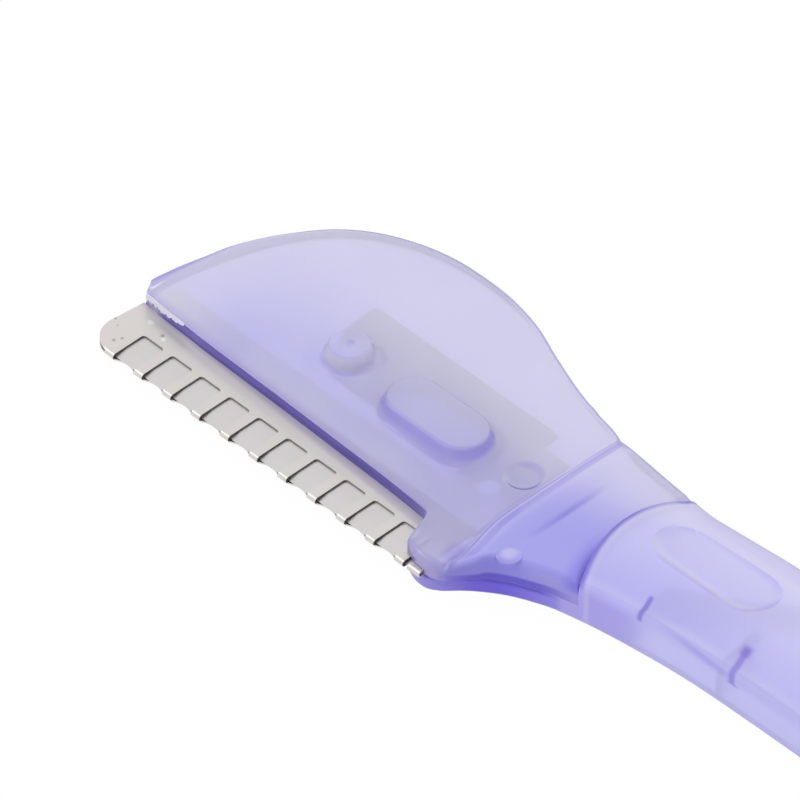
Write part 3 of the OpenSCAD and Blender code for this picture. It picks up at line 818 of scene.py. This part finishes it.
# the sections stand closer together over the fold and the valley
xs = np.unique(np.round(np.concatenate([
    head_line[:, 0], np.arange(31.2, 33.5, 0.07), np.arange(34.1, 35.5, 0.1)]), 3))
xs = xs[np.insert(np.diff(xs) > 0.02, 0, True)]
for x in xs[xs > TIP_TO + 0.2]:
    low, high, low_rim, high_rim, top = [
        np.interp(x, head_line[:, 0], column) for column in head_line.T[LOW:]]
    high_rim = min(high_rim * 0.75, 0.25 + 0.25 * (x - TIP_TO))
    rings.append(creased(cover_ring(x, low, high, low_rim, high_rim, top)))
for x in (HEAD + 0.8, HEAD + 1.7, HEAD + 2.7):
    rings.append(cover_ring(x, side_at(x, LOW), side_at(x, HIGH), *head_line[-1][LOW_RIM:]))
cover = loft("head_cover_moulding", rings)

BOSS, PAD = (0.366 * HEAD, 0.458 * ACROSS), (0.591 * HEAD, 0.439 * ACROSS)
DIMPLE, SMALL_DOME = (0.779 * HEAD, 0.471 * ACROSS), (35.0, 4.1)
PAD_LONG, PAD_WIDE = 7.9, 3.6
# the slanted lines along the foot of the lip and across the tip
SKIRT_AT, SKIRT_SLOPE = 4.73, 0.035
END_AT, END_SLOPE = 6.1, -0.18


def either(tree, first, second):
    """Mask of where one or the other mask holds."""
    return sums(tree, "MAXIMUM", first, second)


cover_plastic, tree, skin = plastic("cover_plastic", through=0.55, smooth=0.14, rough=0.22)
x, y, z = places(tree)
upright = skin.outputs["Upright"]
face = zones(tree, x, y, (0.7, 0.69, 0.98, 1), [("across", 6, 17, (0.98, 0.96, 1.0, 1))])
face = wash(tree, face, ramp(tree, x, along(9), along(1)), 0.8, (1.0, 0.98, 1.0, 1))
face = wash(tree, face, skin.outputs["Cloud"], 0.35, (0.88, 0.87, 1.0, 1))
neck = times(tree, ramp(tree, x, along(31.5), along(34)), ramp(tree, y, across(15), across(8)))
face = wash(tree, face, neck, 0.8, (0.52, 0.5, 0.99, 1))
# the upright walls get a painted deep violet shade, which changes along the razor
wall = zones(tree, x, y, (0.095, 0.06, 0.43, 1), [
    ("along", 27.9, 28.3, (0.72, 0.64, 1.0, 1)), ("along", 2.4, 1.4, (0.66, 0.63, 0.72, 1)),
    ("along", 0.5, 0.2, (0.2, 0.14, 0.55, 1)), ("along", 31.5, 33, (0.4, 0.35, 0.99, 1)),
    ("along", 34.5, 38, (0.58, 0.54, 1.0, 1)), ("across", 8, 11, (0.6, 0.55, 0.98, 1)),
])
# the walls of the boss and the pad stand over the steel, and get a paler painted shade
raised_wall_shade = zones(tree, x, y, (0.96, 0.94, 1.0, 1), [("along", 16.6, 17.6, (0.6, 0.55, 1.0, 1))])
flank = times(tree, ramp(tree, z, 0.0026, 0.0027), ramp(tree, x, along(31), along(30)))
tint = blend(tree, upright, face, blend(tree, flank, wall, raised_wall_shade))
# the lip over the guard is violet, and so is the tip's slanted end
skirt_at = across(SKIRT_AT) + along(0) * SKIRT_SLOPE
skirt = ramp(tree, slant(tree, y, SKIRT_SLOPE, x), skirt_at + 0.0009, skirt_at + 0.0001)
skirt = times(tree, skirt, ramp(tree, x, along(28.5), along(27)))
skirt = either(tree, skirt, ramp(tree, x, along(0.8), along(0.1)))
tint = wash(tree, tint, times(tree, skirt, outside(tree, upright)), 0.5, (0.62, 0.55, 0.98, 1))
end_line = ramp(tree, slant(tree, x, END_SLOPE, y), along(0.25) + END_SLOPE * across(END_AT),
                along(-0.1) + END_SLOPE * across(END_AT))
tint = wash(tree, tint, end_line, 0.6, (0.45, 0.39, 0.9, 1))
heel_lobe = times(tree, ramp(tree, x, along(23), along(29)), ramp(tree, y, across(13), across(9)))
tint = wash(tree, tint, heel_lobe, 0.25, (0.5, 0.48, 0.96, 1))
pale = either(
    tree, ramp(tree, distance(tree, x, y, DIMPLE), 0.0022, 0.0018),
    times(tree, ramp(tree, x, along(31), along(32)), ramp(tree, y, across(13), across(11))))
groove_shade = times(
    tree, ramp(tree, distance(tree, x, y, SHOULDER_MIDDLE), 0.0136, 0.0122),
    ramp(tree, y, across(11), across(6.5)), ramp(tree, z, 0.002, 0.0026))
outline = either(tree, ramp(tree, z, 0.00272, 0.00262), ramp(tree, x, along(31), along(32)))
tint = lit(tree, skin, tint, pale, times(tree, outline, outside(tree, groove_shade)))
# a painted highlight on the small dome by the heel
highlight_dome = times(tree, ramp(tree, distance(tree, x, y, SMALL_DOME), 0.00075, 0.0002),
               ramp(tree, z, 0.0027, 0.0029))
tint = wash(tree, tint, highlight_dome, 0.6, (0.9, 0.89, 1.0, 1))
# where the two mouldings meet, a dark violet painted shade stands for the light caught in the
# joint
joint = times(
    tree, ramp(tree, z, 0.00205, 0.0018), ramp(tree, x, along(32), along(34)),
    ramp(tree, x, along(40.5), along(37)), ramp(tree, y, across(10), across(8)))
tint = wash(tree, tint, joint, 0.85, (0.13, 0.08, 0.7, 1))
heel_shade = ramp(tree, distance(tree, x, y, (32.15, 2.3)), 0.0013, 0.0004)
tint = wash(tree, tint, heel_shade, 0.45, (0.42, 0.37, 0.85, 1))
# painted shade in the soft valley behind the fold
valley = times(tree, near(tree, x, along(VALLEY[0]), 0.0004),
               near(tree, y, across(VALLEY[1]), 0.0042))
tint = wash(tree, tint, valley, 0.7, (0.3, 0.26, 0.75, 1))
tint = wash(tree, tint, groove_shade, 0.75, (0.3, 0.25, 0.93, 1))
linked(tree, tint, tree.nodes["Principled BSDF"].inputs["Base Color"])
cover.data.materials.append(cover_plastic)


def past_shoulder(gap):
    """Plan of all that lies beyond the shoulder's arc, set off from it by a gap."""
    arc = shoulder_arc(gap)
    return arc + [(60, arc[-1][1]), (60, arc[0][1])]


# the cover ends at the shoulder, in a rounded groove
groove = [(0.005, -1), (0.005, 2.35), (0.05, 2.55), (0.15, 2.75), (0.28, 2.9), (0.5, 3.03),
          (0.8, 3.11), (1.2, 3.16), (1.2, 8)]
cut(cover, [stacked("shoulder", past_shoulder, groove, cover_plastic)])
cut(cover, steel_pockets())


def on_face(name, middle, outline, profile):
    """Solid on or in the cover's face, with its heights counted from the face there."""
    top = front_z(middle[0])
    return stacked(name, outline, [(grow, top + z) for grow, z in profile], cover_plastic)


cut(cover, [on_face("boss", BOSS, lambda radius: circle_plan(BOSS, radius), [
    (2.1, -0.4), (2.06, -0.02), (1.9, 0.04), (1.76, 0.14), (1.66, 0.3), (1.56, 0.6),
    (1.47, 0.95), (1.42, 1.08), (1.34, 1.17), (1.22, 1.2), (0.42, 1.19), (0.33, 1.17),
    (0.24, 1.11), (0.14, 1.07), (0.06, 1.06),
])], "UNION")
cut(cover, [on_face("pad", PAD, lambda grow: oval_plan(
    PAD, PAD_LONG + 2 * grow, PAD_WIDE + 2 * grow), [
    (0.85, -0.4), (0.8, -0.02), (0.62, 0.04), (0.45, 0.14), (0.33, 0.3), (0.23, 0.55),
    (0.12, 0.95), (0.06, 1.09), (-0.04, 1.17), (-0.16, 1.2), (-0.8, 1.19),
])], "UNION")
cut(cover, [on_face("dimple", DIMPLE, lambda radius: circle_plan(DIMPLE, radius), [
    (1.6, 1.0), (1.52, 0.01), (1.36, -0.02), (1.2, -0.1), (1.05, -0.2), (0.85, -0.27),
    (0.3, -0.28),
])])
cut(cover, [on_face("highlight_dome", SMALL_DOME, lambda radius: circle_plan(SMALL_DOME, radius), [
    (0.9, -0.2), (0.85, -0.01), (0.62, 0.03), (0.4, 0.1), (0.15, 0.13),
])], "UNION")
shade(cover, 32)
weld(cover, REAR + JOINT_GAP)
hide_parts("head_cover")
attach(cover, "root")


# ---------------------------------------------------------------- lip_flash
# A ragged skin of flash that the mould left along the cover's lip near the tip. It is paper
# thin, dries out whitish, and hangs down over the first part of the wall.
FLASH_FROM, FLASH_TO, FLASH_STEPS = 0.5, 4.4, 90
hang_at = [FLASH_FROM, 0.9, 1.6, 2.2, 3.0, 3.8, FLASH_TO]
hang_rows = [0.32, 0.4, 0.36, 0.34, 0.26, 0.18, 0.05]
rng = np.random.default_rng(7)
xs = np.linspace(FLASH_FROM, FLASH_TO, FLASH_STEPS)
hang = np.interp(xs, hang_at, hang_rows)
ragged = np.convolve(rng.uniform(-1, 1, len(xs) + 4), [0.15, 0.2, 0.3, 0.2, 0.15], "valid")
hang = hang * (1 + 0.8 * ragged)
out = 0.05 + 0.08 * np.convolve(rng.random(len(xs) + 2), [0.25, 0.5, 0.25], "valid")
top = front_z(TIP_TO)
rings = []
for x, drop, lean in zip(xs, hang, out):
    y = 4.9 if x < 0.55 else float(np.interp(x, head_line[:, 0], head_line[:, LOW]))
    rings.append([
        (x, y + 0.07, top + 0.012), (x, y, top), (x, y - 0.03, top - 0.06),
        (x, y - 0.03 - lean, top - drop), (x, y - 0.01 - lean, top - drop),
        (x, y - 0.008, top - 0.1), (x, y + 0.02, top - 0.03), (x, y + 0.07, top - 0.01),
    ])
flash = loft("lip_flash", rings)
flash_skin, tree, skin = plastic("flash_skin", through=0.3, smooth=0.3, rough=0.5)
_, _, z = places(tree)
place = tree.nodes.new("ShaderNodeTexCoord").outputs["Object"]
pale = blend(tree, noise(tree, place, scale=4000), (0.95, 0.93, 0.99, 1), (0.78, 0.75, 0.88, 1))
# the flash is painted darker grey towards its lower edge, as shade under the lip
linked(tree, blend(tree, ramp(tree, z, 0.00235, 0.0021), pale, (0.4, 0.37, 0.5, 1)),
       tree.nodes["Principled BSDF"].inputs["Base Color"])
flash.data.materials.append(flash_skin)
shade(flash, 40)
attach(flash, "root")


# ---------------------------------------------------------------- blade
# One piece of thin ground steel, held between the two mouldings. The CAD solid has the real
# shape, so it stays and gets a fine ground finish: lines along the strip. What the mouldings
# cover looks dull through them.
# where the cover's lip starts across the strip, and how it slants
LIP, LIP_SLOPE, COVERED_WIDE = 4.9, 0.0577, 0.25
UNDER_PLASTIC, TANG_TINT = (0.98, 0.96, 1.0, 1), (0.71, 0.69, 0.81, 1)


def steel(name, tint, deeper, smooth, rough, line_scale, hidden, flaws=()):
    """Steel with fine lines along the strip, shaded under the cover's lip. The hidden colour
    is what shows where the plastic lies on it, and each flaw is a small mark: its place,
    radius and colour."""
    made, tree, shader = new_material(name)
    shader.inputs["Anisotropic"].default_value = 0.3
    place = tree.nodes.new("ShaderNodeTexCoord").outputs["Object"]
    stretch = node(tree, "ShaderNodeMapping", Scale=line_scale)
    tree.links.new(place, stretch.inputs["Vector"])
    lines = noise(tree, stretch.outputs[0], scale=1.0)
    open_face = blend(tree, noise(tree, place, scale=350), tint, deeper)
    x, y, _ = places(tree)
    for spot, radius, mark_tint in flaws:
        mark = ramp(tree, distance(tree, x, y, spot), radius, radius * 0.3)
        open_face = wash(tree, open_face, mark, 0.6, mark_tint)
    lip_line, lip_at = slant(tree, y, LIP_SLOPE, x), across(LIP) + LIP_SLOPE * along(0)
    shaded = ramp(tree, lip_line, lip_at - 0.0005, lip_at - 0.0001)
    open_face = wash(tree, open_face, shaded, 0.45, (0.44, 0.39, 0.52, 1))
    covered = ramp(tree, y, across(LIP), across(LIP + COVERED_WIDE))
    linked(tree, blend(tree, covered, open_face, hidden(tree)), shader.inputs["Base Color"])
    dull = ramp(tree, lip_line, lip_at - 0.001, lip_at - 0.0003)
    bare = outside(tree, times(tree, dull, 0.85))
    linked(tree, times(tree, outside(tree, covered), bare), shader.inputs["Metallic"])
    rough_range = node(tree, "ShaderNodeMapRange", To_Min=smooth, To_Max=rough)
    tree.links.new(lines, rough_range.inputs["Value"])
    bump = node(tree, "ShaderNodeBump", Strength=0.12, Distance=0.00001)
    tree.links.new(lines, bump.inputs["Height"])
    tree.links.new(rough_range.outputs[0], shader.inputs["Roughness"])
    tree.links.new(bump.outputs["Normal"], shader.inputs["Normal"])
    return made


def under_cover(tree):
    """The tang shows grey, but not through the boss and only faintly through the pad."""
    x, y, _ = places(tree)
    straight = (PAD_LONG - PAD_WIDE) / 2 / 1000
    beside = either(tree, 0.0, sums(tree, "SUBTRACT", off(tree, x, along(PAD[0])), straight))
    from_pad = length(tree, beside, sums(tree, "SUBTRACT", y, across(PAD[1])))
    tang = times(
        tree, ramp(tree, y, across(7.6), across(8.4)),
        ramp(tree, distance(tree, x, y, BOSS), 0.0019, 0.0022),
        sums(tree, "ADD", 0.4, times(tree, 0.6, ramp(tree, from_pad, 0.0016, 0.0019))))
    return blend(tree, tang, UNDER_PLASTIC, TANG_TINT)


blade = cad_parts["blade"]
blade.data.materials.clear()
blade.data.materials.append(steel(
    "ground_steel", tint=(0.68, 0.655, 0.66, 1), deeper=(0.63, 0.605, 0.61, 1), smooth=0.3,
    rough=0.42, line_scale=(300, 9000, 9000), hidden=under_cover))


# ---------------------------------------------------------------- blade_guard
# Thin rolled steel, folded round the cutting edge, with its leaves held under the mouldings'
# lips. The windows are punched before folding; their torn cut edges get a dark painted shade,
# and the bars between them catch the light at the fold.
GUARD_INSIDE, FOLD = 0.145, GUARD_HALF - 0.09
fold_turn = np.radians(np.linspace(90, 270, 17))


def leaf(z):
    return [(y, z) for y in (GUARD_WIDE, 4.0, 2.0)]


def bend(radius):
    return [(FOLD + radius * math.cos(a), radius * math.sin(a)) for a in fold_turn]


profile = leaf(GUARD_HALF) + bend(GUARD_HALF) + leaf(-GUARD_HALF)[::-1]
profile += leaf(-GUARD_INSIDE) + bend(GUARD_INSIDE)[::-1] + leaf(GUARD_INSIDE)[::-1]
guard = loft("guard_sheet", [[(x, y, REAR + z) for y, z in profile]
                             for x in np.linspace(0, BLADE_LONG, 63)])

DARK_SPOT = (0.2, 0.19, 0.19, 1)
# the flaws are small dents, rough marks and a blister, painted as spots: partly their own colour,
# partly painted shade and painted highlights
rolled = steel(
    "rolled_steel", tint=(0.72, 0.68, 0.66, 1), deeper=(0.65, 0.62, 0.6, 1), smooth=0.32,
    rough=0.46, line_scale=(500, 12000, 12000), hidden=lambda tree: UNDER_PLASTIC, flaws=[
        ((0.1, 2.45), 0.00016, DARK_SPOT), ((0.7, 2.1), 0.00012, (0.3, 0.28, 0.28, 1)),
        ((1.8, 1.45), 0.00016, DARK_SPOT), ((1.55, 0.95), 0.00018, DARK_SPOT),
        ((3.45, 3.5), 0.0002, (0.2, 0.18, 0.18, 1)), ((3.75, 3.3), 0.00025, (0.95, 0.93, 0.92, 1)),
        ((2.0, 3.8), 0.0003, (0.9, 0.88, 0.87, 1)),
    ])
guard.data.materials.append(rolled)

# the punched edges are torn, and get a dark painted shade, darkest where they face along the
# strip
cut_edge_shade, tree, shader = new_material("punched_edge_shade")
shader.inputs["Metallic"].default_value = 1.0
shader.inputs["Roughness"].default_value = 0.6
where = tree.nodes.new("ShaderNodeTexCoord")
facing = tree.nodes.new("ShaderNodeSeparateXYZ")
tree.links.new(where.outputs["Normal"], facing.inputs[0])
sideways_shade = ramp(tree, sums(tree, "ABSOLUTE", facing.outputs["X"]), 0.5, 0.9)
torn = noise(tree, where.outputs["Object"], scale=2500)
linked(
    tree, blend(tree, sideways_shade, blend(tree, torn, (0.34, 0.31, 0.3, 1), (0.5, 0.46, 0.45, 1)),
                blend(tree, torn, (0.1, 0.085, 0.08, 1), (0.22, 0.19, 0.18, 1))),
    shader.inputs["Base Color"])

WINDOWS, WINDOW_FROM, WINDOW_PITCH, WINDOW_LONG, WINDOW_TALL = 10, 2.55, 2.7, 1.94, 2.7
WINDOW_ROUND, WINDOW_BEHIND = 0.25, 0.55
BOW_INSET, BOW_MIDDLE, BOW_TALL = 0.06, -0.11, 0.42
EDGE_WINDOW = (29.55, 29.95)


def window_top(x0, x1):
    """The window's upper side, with its two rounded corners."""
    turn = np.radians(np.linspace(0, 90, 7))
    r, y = WINDOW_ROUND, WINDOW_TALL - WINDOW_ROUND
    right = [(x1 - r + r * math.cos(a), y + r * math.sin(a)) for a in turn]
    left = [(x0 + r - r * math.sin(a), y + r * math.cos(a)) for a in turn]
    return right + left


def window_bow(x0, x1):
    """The window's lower side, which runs up in an arch at the fold."""
    middle, reach = (x0 + x1) / 2, WINDOW_LONG / 2 - BOW_INSET
    return [(x0 + BOW_INSET, -1), (x1 - BOW_INSET, -1)] + [
        (middle + reach * math.cos(a), BOW_MIDDLE + BOW_TALL * math.sin(a))
        for a in np.radians(np.linspace(0, 180, 17))]


for i in range(WINDOWS):
    x0 = WINDOW_FROM + WINDOW_PITCH * i
    x1 = x0 + WINDOW_LONG
    top = window_top(x0, x1)
    front_leaf = prism("window", [(x0, -1), (x1, -1)] + top, REAR - 0.1, 3, cut_edge_shade)
    behind = [(x0, WINDOW_BEHIND), (x1, WINDOW_BEHIND)] + top
    back_leaf = prism("window", behind, 0, REAR, cut_edge_shade)
    bow = prism("window", window_bow(x0, x1), 0, 3, cut_edge_shade)
    for tool in (front_leaf, back_leaf, bow):
        tool.data.materials.append(rolled)
        for face in tool.data.polygons:
            if face.normal.z < -0.9 or tool is bow:
                face.material_index = 1
        cut(guard, [tool])
# one more window shows as a sliver under the heel
cut(guard, [prism("window", rectangle(*EDGE_WINDOW, -1, WINDOW_TALL), 0, 3, cut_edge_shade)])
# the free end: a rounded corner at the cutting edge, a lean, and a step under the lip
END_ROUND, END_LEAN = 2.0, 0.3
end_plan = [(-PAST, -PAST), (END_ROUND, -PAST)] + [
    (END_ROUND * (1 - math.sin(a)), END_ROUND * (1 - math.cos(a)))
    for a in np.radians(np.linspace(0, 90, 13))]
end_plan += [(END_LEAN, FREE_END_TOP), (FREE_END + SEAT, FREE_END_TOP), (FREE_END + SEAT, 8),
             (-PAST, 8)]
cut(guard, [prism("free_end", end_plan, 0, 3, rolled)])
soften = guard.modifiers.new("soften", "BEVEL")
soften.width = 0.00002
soften.segments = 2
soften.limit_method = "ANGLE"
soften.angle_limit = math.radians(50)
soften.use_clamp_overlap = True
shade(guard, 40)
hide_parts("blade_guard")
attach(guard, "root")
